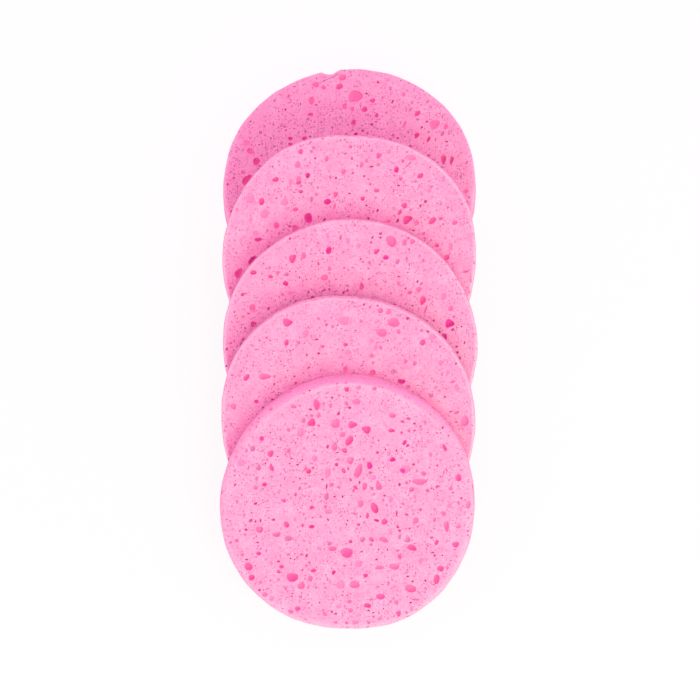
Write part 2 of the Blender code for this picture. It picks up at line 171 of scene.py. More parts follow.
# Pores that stand out in the photograph, sponge by sponge: where the mouth lies in it,
# how long and wide it is, how far its long side is turned from the picture's right
# (pixels and degrees), and how it looks, by the first letter of a name in PORE_LOOKS
SEEN_PORES = {
    "rear_sponge": """
        342 77 8 7 0 m   339 86 8 6 35 d   315 84 7 6 0 m
        323 87 5 5 0 m   311 100 9 6 80 m   310 114 6 4 20 d   344 106 7 5 80 m
        288 96 5 3 70 m   285 109 3 2 90 v   284 126 4 3 0 m   260 132 4 4 0 m
        264 126 3 2 0 g   273 124 3 2 0 g   290 138 5 4 0 v   304 138 6 5 20 d
        305 131 4 3 90 g   298 132 4 2 90 g   290 144 5 4 0 d   281 143 3 3 0 g
        274 146 3 3 0 g   246 143 7 7 0 p   250 151 8 6 -45 m   256 161 8 7 60 d
        247 180 12 9 60 d   258 169 4 3 40 d   243 172 5 4 0 m   234 174 3 2 0 g
        274 100 3 3 0 g   303 84 4 2 15 g   294 86 4 2 15 g
        355 96 15 12 30 m   372 100 6 5 0 d   364 109 7 6 45 d   352 109 5 4 80 m
        376 115 5 4 90 d   353 122 7 5 80 d   371 124 4 3 0 v   355 134 5 4 20 v
        387 79 6 4 0 p   403 94 5 4 90 m   390 88 5 3 90 g   392 101 5 2 70 v
        410 109 5 2 60 g   417 113 7 5 55 d   417 119 4 3 0 g   421 127 4 2 60 v
        400 122 3 2 45 g   404 124 8 3 70 m   416 135 7 5 70 d   428 139 7 3 65 d
        435 139 4 2 80 m   410 146 4 4 0 d   434 124 11 9 45 m   445 126 7 4 80 m
        442 133 6 3 60 g   442 116 5 2 85 g   427 101 5 3 60 g   446 141 3 2 0 v
        446 145 3 2 0 g   443 159 10 5 88 d   451 160 9 4 75 d   428 155 4 3 0 d
        460 176 4 3 60 g   466 162 5 3 60 g   458 155 3 2 0 g   465 191 6 5 60 m
        382 97 4 2 60 g   366 93 3 2 0 v   387 123 4 2 80 g   367 133 4 3 80 g""",
    "second_sponge": """
        300 151 6 5 80 d   311 151 4 4 0 g   313 147 4 4 0 g   297 164 7 6 90 m
        326 158 7 4 90 m   307 175 6 5 90 v   275 179 7 5 20 d   298 178 6 5 0 m
        298 182 6 5 40 d   300 173 3 2 0 g   343 171 6 5 90 m   290 181 7 4 90 p
        300 191 5 4 0 d   335 194 6 5 60 d   309 162 3 2 0 g   345 153 5 2 10 g
        338 153 4 4 0 p   311 183 4 2 90 m
        350 146 4 4 0 m   378 155 6 5 60 d   371 150 4 3 0 g   361 164 6 4 80 m
        366 160 5 3 80 g   371 166 5 2 10 v   378 164 4 4 0 m   396 169 7 5 85 v
        400 178 5 4 90 m   420 175 7 5 35 d   411 157 10 6 -10 p   408 164 9 1 45 g
        388 151 5 5 0 p   398 185 3 2 0 v   393 190 4 2 90 m   376 190 6 4 10 d
        415 181 3 3 0 g   431 186 4 3 0 g   428 190 5 4 0 p   437 188 3 2 0 g
        429 180 5 3 0 p
        250 198 9 8 60 p   261 201 8 6 80 d   284 201 9 7 60 p   264 213 11 9 60 p
        295 209 6 4 10 d   308 218 11 8 -75 v   327 201 8 6 0 v   276 225 7 6 80 d
        295 228 7 7 0 m   258 239 8 4 10 v   255 233 6 6 0 p   269 247 5 4 60 d
        252 260 11 6 50 v   238 273 11 7 60 d   279 241 4 3 20 v   316 194 4 3 0 m
        311 199 7 3 85 g   334 206 7 3 80 m   324 219 4 3 80 v   250 219 7 4 80 p
        279 233 4 3 70 g   267 230 4 2 80 g   283 229 3 2 0 g
        362 198 5 5 0 d   375 197 3 2 0 g   366 205 3 2 0 v   377 210 4 3 70 v
        404 205 6 6 0 d   425 201 4 4 0 d   420 205 3 3 0 v   399 212 6 4 60 d
        397 220 5 3 60 v   407 219 11 8 30 d   416 222 5 5 0 m   432 220 9 6 35 d
        440 218 5 4 0 g   454 222 6 5 0 m   368 218 3 3 0 v   388 221 5 4 0 m
        423 233 4 3 80 m   413 230 3 2 0 v   436 245 5 4 20 d   446 257 6 6 0 d
        450 246 8 4 90 p   465 271 6 3 0 m   470 280 6 3 90 p   350 204 4 2 90 g
        349 193 3 2 0 v   461 224 5 4 0 p   393 208 5 5 0 p""",
    "middle_sponge": """
        328 250 8 6 80 v   292 258 9 7 60 d   303 255 7 5 80 m   315 253 3 2 20 g
        318 263 4 2 -70 v   329 268 5 4 80 m   324 277 8 6 20 m   253 272 7 5 10 d
        270 276 5 4 0 d   277 272 5 4 20 m   286 274 5 4 20 g   285 283 6 5 -20 v
        299 277 2 2 0 v   323 290 5 2 20 v   329 289 3 3 0 v   312 297 5 3 10 v
        242 294 4 4 0 d   282 294 4 3 0 m   290 293 5 5 0 p   285 299 3 2 20 g
        252 307 7 7 0 m   243 316 4 3 0 g   248 313 3 2 0 v   253 324 7 6 30 d
        243 339 4 4 0 d   241 344 3 3 0 v   268 308 4 3 80 v   327 235 6 4 -70 p
        306 245 3 2 0 g   269 267 3 3 0 g   340 237 6 3 85 g   343 292 3 3 0 v
        347 290 4 3 80 d   347 240 7 5 90 p   347 285 2 2 0 v   237 331 2 2 0 g
        391 241 13 10 -60 m   404 242 7 5 85 m   412 241 6 5 60 m   372 237 3 2 45 v
        380 233 4 3 0 v   380 237 3 2 0 v   376 251 7 5 45 d   385 257 6 5 20 v
        397 261 6 4 60 g   406 258 4 3 90 g   361 286 8 5 80 d   398 276 3 2 0 v
        398 283 5 4 80 m   385 281 3 2 0 m   409 292 5 4 10 d   418 289 6 5 40 m
        405 288 3 2 60 v   421 283 4 3 30 g   417 281 3 2 70 v   422 300 9 6 75 d
        401 294 3 3 0 m   443 296 8 6 85 p   412 305 3 2 0 v   450 308 6 5 60 m
        425 309 9 2 65 m   433 320 3 3 0 v   435 311 2 2 0 g   449 323 10 9 30 v
        453 316 3 3 0 m   394 304 3 2 0 v   376 273 3 2 0 g   352 267 3 2 0 g
        368 268 3 3 0 g   358 245 5 5 0 p   452 329 4 3 30 v   444 336 7 5 -60 v
        461 326 2 2 0 v   464 342 4 2 70 v   456 346 3 3 0 v""",
    "fourth_sponge": """
        287 322 10 8 0 d   343 320 12 9 0 p   326 324 4 3 80 d   332 326 4 3 70 m
        305 333 9 6 75 p   286 342 7 5 85 d   298 342 4 4 0 m   316 339 4 2 0 v
        322 346 5 4 0 m   318 353 3 3 0 v   345 344 5 4 0 d   347 352 8 5 10 p
        259 340 3 2 0 g   266 337 3 3 0 m   308 367 4 2 40 v   345 369 6 5 60 m
        246 377 8 5 45 d   264 376 12 6 0 m   256 401 5 4 0 v   233 406 6 6 0 m
        290 350 3 2 0 g   318 318 4 3 0 g   256 349 6 1 0 g   272 399 3 2 0 v
        380 310 6 6 0 m   388 311 6 5 45 m   354 306 3 2 0 g   362 308 3 2 0 g
        393 322 12 9 0 m   381 332 11 8 -20 m   398 331 5 4 90 m   422 342 7 6 60 d
        432 336 7 6 0 p   371 340 5 5 0 p   380 347 5 3 -60 m   375 347 6 4 90 p
        371 355 5 5 0 m   405 361 5 4 60 m   414 363 5 4 60 m   349 359 3 2 0 g
        363 361 3 2 0 g   440 362 6 5 60 p   372 372 7 6 45 m   401 381 9 5 -10 v
        385 381 4 2 -20 v   452 381 6 3 20 m   456 387 7 4 90 p   435 387 5 4 20 p
        447 372 5 5 0 p   430 395 5 4 -40 g   456 412 6 3 20 m   450 411 3 2 0 v
        464 421 10 8 60 m   393 371 6 5 0 g   423 389 3 1 20 g""",
    "front_sponge": """
        316 404 11 6 -85 d   310 409 4 2 -20 v   330 405 5 4 80 m   338 413 5 3 75 v
        311 422 8 8 0 d   303 420 6 4 75 m   318 415 6 4 80 g   311 415 4 3 0 m
        306 415 3 2 0 m   335 423 10 9 30 m   300 432 10 7 80 p   288 429 4 4 0 m
        293 406 6 4 -20 m   303 393 4 3 0 p   261 438 5 5 0 v   270 453 7 6 60 d
        265 463 2 2 0 v   267 459 4 3 60 m   271 467 8 4 -75 d   252 448 7 6 60 g
        240 462 9 8 60 p   258 467 7 5 70 g   288 450 6 4 80 g   234 470 4 4 0 p
        234 475 3 2 0 g   264 484 5 4 0 v   255 487 5 5 0 m   256 478 5 3 80 g
        334 446 9 6 85 m   327 446 5 3 75 v   344 450 6 5 -30 d   337 452 4 1 0 v
        314 458 7 6 60 p   336 464 4 4 0 v   337 459 5 3 0 m   343 470 6 4 -60 d
        327 472 12 6 85 p   308 471 6 5 30 d   305 468 5 4 60 m   297 464 3 2 0 v
        302 459 2 2 0 v   291 458 3 2 20 v   289 463 2 2 0 v   277 456 2 2 0 v
        311 463 4 2 0 g   322 479 3 2 0 v   326 486 6 2 85 v   331 484 5 5 0 m
        326 496 8 5 85 g   295 494 4 3 75 v   283 500 5 4 0 d   288 494 2 2 0 g
        255 503 4 3 30 v   311 507 5 4 20 d   299 488 5 3 80 g   305 483 4 2 20 m
        309 486 3 3 0 m   342 496 3 2 80 v   334 496 3 2 0 v   284 478 3 1 90 v
        280 485 4 2 70 g   280 438 4 3 90 g   307 437 4 2 70 g   295 442 3 3 0 g
        246 450 4 3 80 g   248 467 5 2 70 g   342 434 6 5 60 m
        346 389 5 5 0 d   358 387 6 5 30 p   374 388 5 4 0 m   356 401 8 6 0 m
        346 403 6 4 -60 m   349 407 4 3 0 v   352 424 9 7 -10 d   366 429 9 8 0 d
        392 415 8 5 -10 m   391 430 7 4 0 d   402 421 4 3 0 v   408 418 5 3 -10 d
        414 423 3 2 -20 v   414 430 3 2 0 v   420 426 3 2 30 m   349 440 11 7 65 d
        372 442 5 4 0 p   366 439 2 2 0 g   377 452 4 3 10 v   385 449 2 2 0 v
        396 450 3 2 80 v   388 453 5 4 -70 p   392 459 7 5 10 v   401 457 3 3 0 p
        404 442 6 4 60 v   407 445 4 3 45 v   350 460 8 7 40 m   359 459 3 2 0 g
        369 465 8 6 -70 v   370 472 4 3 0 d   358 470 15 7 65 m   373 477 6 5 60 p
        359 482 4 2 80 v   350 479 4 2 -60 v   355 487 6 4 -50 d   364 486 8 5 75 m
        353 490 3 3 0 d   378 485 10 6 -75 m   402 470 6 5 0 v   405 469 10 9 0 p
        399 484 4 3 80 v   406 482 4 4 0 m   413 464 3 3 0 v   429 467 2 2 0 v
        423 473 6 5 -20 m   419 481 14 6 0 m   411 489 6 5 40 m   427 490 4 4 0 d
        437 486 5 3 10 d   450 488 5 4 40 m   458 477 8 6 -70 d   444 447 8 4 -65 d
        430 454 5 3 -80 m   446 470 3 2 0 m   414 496 5 4 60 p   390 499 8 4 85 p
        384 495 3 2 0 v   374 507 12 7 -70 d   360 503 8 6 80 m   449 505 6 5 60 p
        458 502 4 3 80 m   468 504 8 5 80 m   420 509 3 3 0 v   402 556 2 2 0 g
        226 519 3 2 0 g   250 520 4 4 0 d   255 521 3 2 80 v   260 520 4 2 80 v
        273 519 4 3 30 v   259 529 8 7 0 m   244 534 4 2 -20 m   286 524 7 5 -60 d
        302 525 4 3 80 d   311 526 6 4 0 v   305 518 5 3 85 p   276 534 9 5 0 m
        288 538 8 6 20 g   268 530 3 2 30 g   287 532 3 1 0 g   328 511 8 5 0 p
        320 516 3 3 0 g   230 542 4 3 20 m   236 540 4 4 0 m   257 542 3 2 0 v
        258 553 5 4 -10 v   266 550 4 2 80 g   242 554 4 3 80 m   246 559 4 2 0 v
        248 566 8 8 0 d   251 577 7 6 20 d   278 561 4 2 0 v   281 566 5 4 0 d
        278 571 4 4 0 d   278 579 4 3 90 g   270 580 3 3 0 g   292 577 12 9 5 d
        301 585 8 7 80 m   310 578 6 5 90 m   313 570 6 4 10 d   333 572 5 4 80 v
        306 555 5 3 80 v   301 554 4 3 0 g   288 554 4 3 0 m   290 558 2 2 0 v
        294 559 2 2 0 v   319 548 5 4 0 p   329 543 5 4 30 g   332 548 9 5 0 m
        346 552 12 10 0 d   340 584 9 9 0 p   285 588 5 3 -60 g   264 594 6 5 0 m
        271 598 7 5 60 p   300 596 4 3 0 m   308 602 2 2 0 v   319 602 2 2 0 v
        297 608 6 5 0 d   290 611 6 4 -20 m   324 613 6 4 -60 m   335 613 4 2 10 v
        335 622 4 3 0 m   338 606 6 4 0 p   305 619 5 2 0 p   325 587 3 2 0 g
        327 579 3 2 90 g   260 582 4 3 60 g
        350 541 4 4 0 v   367 515 7 3 80 d   376 520 6 3 -20 v   384 521 7 6 40 d
        396 513 6 2 88 v   406 514 4 3 0 d   397 526 5 3 -60 d   399 530 3 3 0 v
        415 520 7 6 60 m   417 526 3 3 0 m   409 528 3 2 60 v   434 519 5 3 85 g
        443 513 5 5 0 m   446 526 11 5 88 m   458 526 5 4 30 m   455 544 7 6 20 d
        454 549 3 2 0 g   431 537 4 3 0 d   436 542 6 4 75 d   390 531 7 4 85 p
        399 536 6 3 75 g   362 539 6 5 45 g   371 539 6 4 -40 d   383 539 10 5 -20 m
        407 539 7 6 60 g   411 547 10 6 -15 d   414 543 3 2 0 g   397 550 5 3 0 m
        399 556 5 4 -75 d   427 545 3 3 0 m   432 552 3 2 0 v   434 555 3 2 0 v
        442 555 2 2 0 v   435 564 2 2 0 m   361 551 3 2 20 v   378 549 2 2 0 v
        387 549 2 2 0 v   376 559 3 2 0 v   358 563 8 7 0 p   379 567 9 4 0 m
        394 566 10 6 0 m   365 575 5 4 0 v   420 560 7 5 85 p   440 568 7 6 0 d
        436 579 10 6 80 d   447 567 5 2 80 m   354 584 10 8 -20 m   351 578 4 2 0 g
        365 581 3 2 0 g   382 584 4 2 0 g   388 582 4 3 80 m   392 580 2 2 0 g
        407 576 3 2 0 v   412 581 3 2 0 v   425 580 3 2 -30 v   410 588 12 8 -20 m
        380 596 9 6 0 d   349 601 5 4 20 g   367 605 8 5 -10 d   368 610 3 2 0 v
        350 610 5 5 0 m   390 601 3 3 0 m   396 602 5 4 -60 g   393 598 3 2 0 g
        398 613 6 5 90 d   406 612 4 3 0 g   411 609 6 3 88 p   410 602 3 2 0 v
        415 599 8 2 0 g   373 616 3 2 0 m   379 618 5 3 0 p   355 622 8 4 0 p
        368 622 4 4 0 g   370 599 4 3 0 g   346 524 2 2 0 v   347 520 2 2 0 v
        358 524 4 3 0 d   364 522 3 3 0 g   354 513 4 3 0 g   360 516 2 2 0 v
        356 528 3 2 0 g   373 612 2 2 0 v""",
}
WORDS_PER_PORE = 6

# How each look is made: the depth as a share of the mouth's width, the least depth, how far
# the widest part of the cell lies under the mouth as a share of its height, how hot its pink
# is, and how far it greys to mauve. The hot pink and the mauve are painted shade in the pit
PORE_LOOKS = {
    "very_deep": (0.76, 0.75 * MM, 0.35, 1.0, 0.0),
    "deep": (0.62, 0.55 * MM, 0.30, 0.72, 0.0),
    "middling": (0.43, 0.40 * MM, 0.12, 0.45, 0.0),
    "pale": (0.24, 0.24 * MM, -0.1, 0.25, 0.0),
    "grey": (0.34, 0.24 * MM, 0.0, 0.3, 1.0),
}
# Narrow pores are painted less of the deep pink and more mauve, as painted shade in narrow
# pits
NARROW_HEAT = {"large": 1.0, "medium": 1.0, "small": 0.8, "tiny": 0.6}
NARROW_MAUVE = {"large": 0.0, "medium": 0.0, "small": 0.4, "tiny": 0.55}
# How often each look comes up among the pores that are scattered, class by class
SCATTERED_LOOKS = {
    "large": "very_deep deep deep middling middling pale",
    "medium": "very_deep deep middling middling pale pale grey",
    "small": "very_deep deep middling middling pale pale grey grey",
    "tiny": "deep middling middling pale grey grey grey",
}

# The foam's noise patterns: their size, detail and distortion, and the stops of the ramp
# that they go through.  The patches are the slab's own, the mauve lines are thin darker
# lines along the middle of a noise, and the grain, which is finer in the real foam, is drawn
# as coarse as it needs to show
FOAM_NOISES = {
    "patches": (4 * MM, 4.0, 0.0, ((0.32, "FFA8CC"), (0.5, "FFAFD0"), (0.68, "FFB8D6"))),
    "grain": (0.5 * MM, 2.0, 0.0, ((0.36, 0.82), (0.55, 1.0))),
    "crowding": (6 * MM, 2.0, 0.0, ((0.38, 0.45), (0.6, 1.0))),
    "mauve_lines": (1.6 * MM, 1.0, 1.2, ((0.485, 0.0), (0.5, 1.0), (0.515, 0.0))),
    "roughness": (0.35 * MM, 3.0, 0.0, ()),
}
# Pinprick cells, too small to be cut, drawn as mauve specks of painted shade: how far apart
# their places lie, the half width of the widest as a share of that, and the share of places
# that hold one.  Their edge is the steeper, the higher its number
PINPRICKS = ((0.6 * MM, 0.46, 0.50), (0.9 * MM, 0.40, 0.52))
PINPRICK_EDGE = 14.0
# What covers the skin in turn: how strong it is there, and its colour.  The pinpricks' mauve
# is painted shade in tiny pits, the darker pink at the back of the front sponge's rim is
# painted shade, and the pale rim line is a painted highlight
SKIN_COVERS = {
    "pinpricks": (0.9, "D27EB6"),
    "mauve_lines": (0.35, "D98CBB"),
    "back_rim_shade": (0.6, "FF8CC0"),
    "rim": (0.7, "FFDADF"),
}
# The painted shade in a pit, from the coolest pink to the hottest, and the painted mauve of
# narrow pits over it
PIT_PINKS = ((0.0, "FFA2CC"), (0.18, "FF96C4"), (0.4, "FF90C4"), (0.75, "FA7EC8"),
             (1.0, "F862CC"))
NARROW_PIT_SHADE_MAUVE = "DA8ABA"
NARROW_PIT_SHADE_SHARE = 0.85
SKIN_BUMP = {"Distance": 0.05 * MM, "Strength": 0.5}
DRY_FOAM = {
    "Roughness": 0.85,
    "Specular IOR Level": 0.1,
    "Subsurface Weight": 0.25,
    "Subsurface Radius": (1.0, 0.3, 0.5),
    "Subsurface Scale": 1.0 * MM,
}

# Where a Mix node has its two colours, among its inputs, and the mixture as an output
FIRST_COLOUR, SECOND_COLOUR, MIXED_COLOUR = 6, 7, 2

# The studio: a slightly pink sky and a faintly green lamp, about white together
SKY_FILL = (1.12, 0.75, 1.03, 1.0)
WHITE = "FFFFFF"
LAMP_COLOUR = (0.6, 1.0, 0.45)
LAMP_POWER = 3.0
LAMP_SIDE = 500 * MM
LAMP_PLACE = (240 * MM, -560 * MM, 620 * MM)
TABLE_SIDE = 4000 * MM
TABLE_HEIGHT = -0.05 * MM
TABLE_WHITE = "F9F9F9"
# How much of the table's white the camera sees as its own, and the rest keeps shadows
TABLE_GLOW = 0.9


def camera_rig():
    """A long lens at the photograph's height, so that the leaning sponges face it."""
    camera = bpy.data.cameras.new("camera")
    camera.sensor_width = SENSOR_WIDTH_MM
    frame_width = IMAGE_SIDE / PIXELS_PER_MM * MM
    camera.lens = camera.sensor_width * CAMERA_DISTANCE / frame_width
    camera.clip_start = CAMERA_DISTANCE / 100
    camera.clip_end = CAMERA_DISTANCE * 10
    rig = bpy.data.objects.new("camera", camera)
    back = Vector((0, -math.cos(CAMERA_ELEVATION), math.sin(CAMERA_ELEVATION)))
    rig.location = AIM_POINT + back * CAMERA_DISTANCE
    rig.rotation_euler = (-back).to_track_quat("-Z", "Y").to_euler()
    bpy.context.scene.collection.objects.link(rig)
    bpy.context.scene.camera = rig


def outline_radius(name, angle):
    """The same closed curve through the outline's shares as the solid follows."""
    shares = OUTLINE_SHARES[name]
    place = angle / math.tau * len(shares)
    first = math.floor(place)
    part = place - first
    before, start, end, after = (
        shares[(first + step) % len(shares)] for step in (-1, 0, 1, 2))
    leave = (end - before) / 2
    arrive = (after - start) / 2
    share = (start + leave * part
             + (3 * (end - start) - 2 * leave - arrive) * part ** 2
             + (2 * (start - end) + leave + arrive) * part ** 3)
    return SPONGE_RADIUS * share


def nick(name, angle):
    """How far a tear in the rim reaches in at this angle."""
    if name not in NICKS:
        return 0.0
    middle, half_width, reach = NICKS[name]
    off = (math.degrees(angle) - middle) / half_width
    return reach * max(0.0, 1 - off ** NICK_SQUARENESS)


def seat(name):
    """The matrix that lays a sponge where its solid lies.

    The solid's widest upward triangle belongs to its flat upper face, so its normal
    gives the lean.  Turned back by that lean, the solid's box gives the middle.
    """
    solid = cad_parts[name].data
    top = max((p for p in solid.polygons if p.normal.z > SOLID_FACES_UP),
              key=lambda p: p.area)
    lean = Matrix.Rotation(math.atan2(-top.normal.y, top.normal.z), 4, "X")
    level = lean.inverted()
    corners = np.array([level @ v.co for v in solid.vertices])
    low = corners.min(axis=0)
    rays = [math.tau * i / OUTLINE_SEGMENTS for i in range(OUTLINE_SEGMENTS)]
    left = min(outline_radius(name, a) * math.cos(a) for a in rays)
    front = min(outline_radius(name, a) * math.sin(a) for a in rays)
    return lean @ Matrix.Translation((low[0] - left, low[1] - front, low[2]))


def disc(name):
    """A die-cut disc of foam, its middle underneath at the origin."""
    bpy.ops.object.select_all(action="DESELECT")
    bpy.ops.mesh.primitive_cylinder_add(
        vertices=OUTLINE_SEGMENTS, radius=SPONGE_RADIUS, depth=SPONGE_THICKNESS,
        location=(0, 0, SPONGE_THICKNESS / 2))
    piece = bpy.context.active_object
    piece.name = name + "_foam"
    bpy.ops.object.transform_apply(location=True, rotation=True, scale=True)
    for vert in piece.data.vertices:
        angle = math.atan2(vert.co.y, vert.co.x)
        ray = Vector((math.cos(angle), math.sin(angle), 0))
        wander = noise.noise(ray * SPONGE_RADIUS / EDGE_WANDER_LENGTH
                             + Vector((0, 0, len(name))))
        reach = outline_radius(name, angle) + EDGE_WANDER * wander - nick(name, angle)
        height = vert.co.z
        vert.co = ray * (reach - (WALL_DRAFT if height > SPONGE_THICKNESS / 2 else 0))
        vert.co.z = height

    # rims are rounded first, and then each flat face is filled with a grid
    bpy.ops.object.mode_set(mode="EDIT")
    for height, rounding, steps in (
            (SPONGE_THICKNESS, UPPER_RIM_ROUNDINGS[name], UPPER_RIM_STEPS),
            (0.0, LOWER_RIM_ROUNDING, LOWER_RIM_STEPS)):
        bpy.ops.mesh.select_mode(type="EDGE")
        bpy.ops.mesh.select_all(action="DESELECT")
        shape = bmesh.from_edit_mesh(piece.data)
        for edge in shape.edges:
            edge.select_set(all(abs(v.co.z - height) < HEIGHT_SLACK for v in edge.verts))
        bmesh.update_edit_mesh(piece.data)
        bpy.ops.mesh.bevel(offset=rounding, segments=steps, profile=0.5)
    for height in (SPONGE_THICKNESS, 0.0):
        bpy.ops.mesh.select_mode(type="FACE")
        bpy.ops.mesh.select_all(action="DESELECT")
        shape = bmesh.from_edit_mesh(piece.data)
        for face in shape.faces:
            face.select_set(len(face.verts) == OUTLINE_SEGMENTS
                            and abs(face.verts[0].co.z - height) < HEIGHT_SLACK)
        bmesh.update_edit_mesh(piece.data)
        bpy.ops.mesh.delete(type="ONLY_FACE")
        bpy.ops.mesh.select_mode(type="EDGE")
        bpy.ops.mesh.select_all(action="DESELECT")
        bpy.ops.mesh.select_non_manifold(extend=False)
        bpy.ops.mesh.fill_grid(span=FACE_GRID_SPAN)
    bpy.ops.mesh.select_all(action="SELECT")
    bpy.ops.mesh.normals_make_consistent(inside=False)
    bpy.ops.object.mode_set(mode="OBJECT")

    # the knife that split the slab left a gently wavy upper face
    for vert in piece.data.vertices:
        raised = max(0.0, vert.co.z / SPONGE_THICKNESS - 0.5) * 2
        wave = noise.noise(vert.co / WAVE_LENGTH + Vector((len(name), 0, 0)))
        vert.co.z += WAVE_HEIGHT * wave * raised
    piece.data.attributes.new("cell", "INT", "FACE")
    return piece


def unit_egg(build):
    """Corners and triangles of a unit ball, which every pore of a class is cut with."""
    bpy.ops.object.select_all(action="DESELECT")
    build()
    ball = bpy.context.active_object
    shape = bmesh.new()
    shape.from_mesh(ball.data)
    bmesh.ops.triangulate(shape, faces=shape.faces)
    corners = np.array([v.co[:] for v in shape.verts])
    triangles = np.array([[v.index for v in f.verts] for f in shape.faces])
    shape.free()
    bpy.data.objects.remove(ball, do_unlink=True)
    return corners, triangles


EGGS = {
    "large": unit_egg(lambda: bpy.ops.mesh.primitive_ico_sphere_add(
        subdivisions=3, radius=1)),
    "medium": unit_egg(lambda: bpy.ops.mesh.primitive_uv_sphere_add(
        segments=12, ring_count=8, radius=1)),
    "small": unit_egg(lambda: bpy.ops.mesh.primitive_uv_sphere_add(
        segments=8, ring_count=6, radius=1)),
    "tiny": unit_egg(lambda: bpy.ops.mesh.primitive_uv_sphere_add(
        segments=6, ring_count=4, radius=1)),
}


def class_of(width):
    """The class whose range a mouth's width falls in."""
    for kind, (least, _) in PORE_CLASSES.items():
        if width >= least:
            return kind
    return "tiny"


class Pore:
    """One cell of the foam that the surface cuts open."""

    def __init__(self, mouth, outward, length, width, turn, look, chance):
        share, least, sink, self.heat, self.mauve = PORE_LOOKS[look]
        self.kind = class_of((length + width) / 2)
        self.heat *= NARROW_HEAT[self.kind]
        self.mauve = max(self.mauve, NARROW_MAUVE[self.kind])
        self.depth = max(share * (length + width) / 2, least) * chance.uniform(*DEPTH_SPREAD)
        height = self.depth / (1 + sink)
        spread = 1 / math.sqrt(1 - sink ** 2)
        self.centre = mouth - outward * height * sink
        face_on = outward.to_track_quat("Z", "Y").to_matrix()
        if outward.z > MOUTH_FACES_UP:
            face_on = Matrix.Identity(3)
        tip = chance.uniform(-MOST_TIP, MOST_TIP) if look != "pale" else 0.0
        self.shape = np.array(
            face_on @ Matrix.Rotation(turn, 3, "Z") @ Matrix.Rotation(tip, 3, "X")
            @ Matrix.Diagonal((length / 2 * spread, width / 2 * spread, height)))
        self.lumps = [chance.uniform(0, math.tau) for _ in range(4)]
        self.taper = chance.uniform(-MOST_TAPER, MOST_TAPER)
        self.corner = chance.uniform(0.0, MOST_THREE_CORNERED)
        self.reach = np.linalg.norm(self.corners() - np.array(self.centre), axis=1).max()

    def corners(self):
        """The egg of this pore's class, made lumpy, tapered and laid in its place."""
        ball = EGGS[self.kind][0]
        along, across, deep = LUMP_WAVES
        round_mouth = np.arctan2(ball[:, 1], ball[:, 0])
        swell = 1 + LUMP_HEIGHT * (
            np.sin(along * ball[:, 0] + self.lumps[0])
            * np.cos(across * ball[:, 1] + self.lumps[1])
            + LUMP_DEPTH_SHARE * np.sin(deep * ball[:, 2] + self.lumps[2]))
        swell += self.corner * np.sin(3 * round_mouth + self.lumps[3]) * (
            1 - ball[:, 2] ** 2)
        egg = ball * swell[:, None]
        egg[:, 1] *= 1 + self.taper * ball[:, 0]
        return egg @ self.shape.T + np.array(self.centre)


def cube_of(place, side):
    """The number of the cube that a place lies in, in a grid of cubes."""
    return tuple(int(c // side) for c in place)


def cubes_near(key):
    """The numbers of a cube and of those round it."""
    return [(key[0] + i, key[1] + j, key[2] + k)
            for i in (-1, 0, 1) for j in (-1, 0, 1) for k in (-1, 0, 1)]


def batches(pores):
    """Groups of pores in which none touches another, so each cuts cleanly at once."""
    groups = []
    side = BATCH_CUBE * max(pore.reach for pore in pores)
    for pore in pores:
        key = cube_of(pore.centre, side)
        near = cubes_near(key)
        for group in groups:
            if all((pore.centre - other.centre).length
                   > BATCH_GAP * (pore.reach + other.reach)
                   for spot in near for other in group.get(spot, ())):
                break
        else:
            group = {}
            groups.append(group)
        group.setdefault(key, []).append(pore)
    return [[pore for held in group.values() for pore in held] for group in groups]


def cut_pores(piece, pores):
    """Cuts the pores out, one batch after another.

    The Boolean's MANIFOLD solver is the one that can take a thousand eggs at once.  It
    leaves the faces of each pore marked with the number that the pore's egg carries.
    """
    numbers = {pore: number for number, pore in enumerate(pores, 1)}
    for batch in batches(pores):
        corners, triangles, marks, start = [], [], [], 0
        for pore in batch:
            corners.append(pore.corners())
            triangles.append(EGGS[pore.kind][1] + start)
            marks += [numbers[pore]] * len(triangles[-1])
            start += len(corners[-1])
        mesh = bpy.data.meshes.new("pores")
        mesh.from_pydata(np.vstack(corners).tolist(), [], np.vstack(triangles).tolist())
        mesh.attributes.new("cell", "INT", "FACE").data.foreach_set("value", marks)
        cutter = bpy.data.objects.new("pores", mesh)
        bpy.context.scene.collection.objects.link(cutter)
        cut = piece.modifiers.new("pores", "BOOLEAN")
        cut.operation = "DIFFERENCE"
        cut.solver = "MANIFOLD"
        cut.object = cutter
        bpy.context.view_layer.objects.active = piece
        bpy.ops.object.modifier_apply(modifier="pores")
        bpy.data.objects.remove(cutter, do_unlink=True)


def skin_of_top(name, mouth):
    """Sinks a place on the upper face to its rounded rim, and gives the way out there."""
    angle = math.atan2(mouth.y, mouth.x)
    ray = Vector((math.cos(angle), math.sin(angle), 0))
    rim = outline_radius(name, angle) - WALL_DRAFT
    reach = min(mouth.xy.length, rim - RIM_MARGIN)
    rounding = UPPER_RIM_ROUNDINGS[name]
    over = reach - (rim - rounding)
    mouth = ray * reach
    mouth.z = SPONGE_THICKNESS
    if over <= 0:
        return mouth, Vector((0, 0, 1))
    level = math.sqrt(rounding ** 2 - min(over, rounding) ** 2)
    mouth.z += level - rounding
    return mouth, (ray * over + Vector((0, 0, level))).normalized()


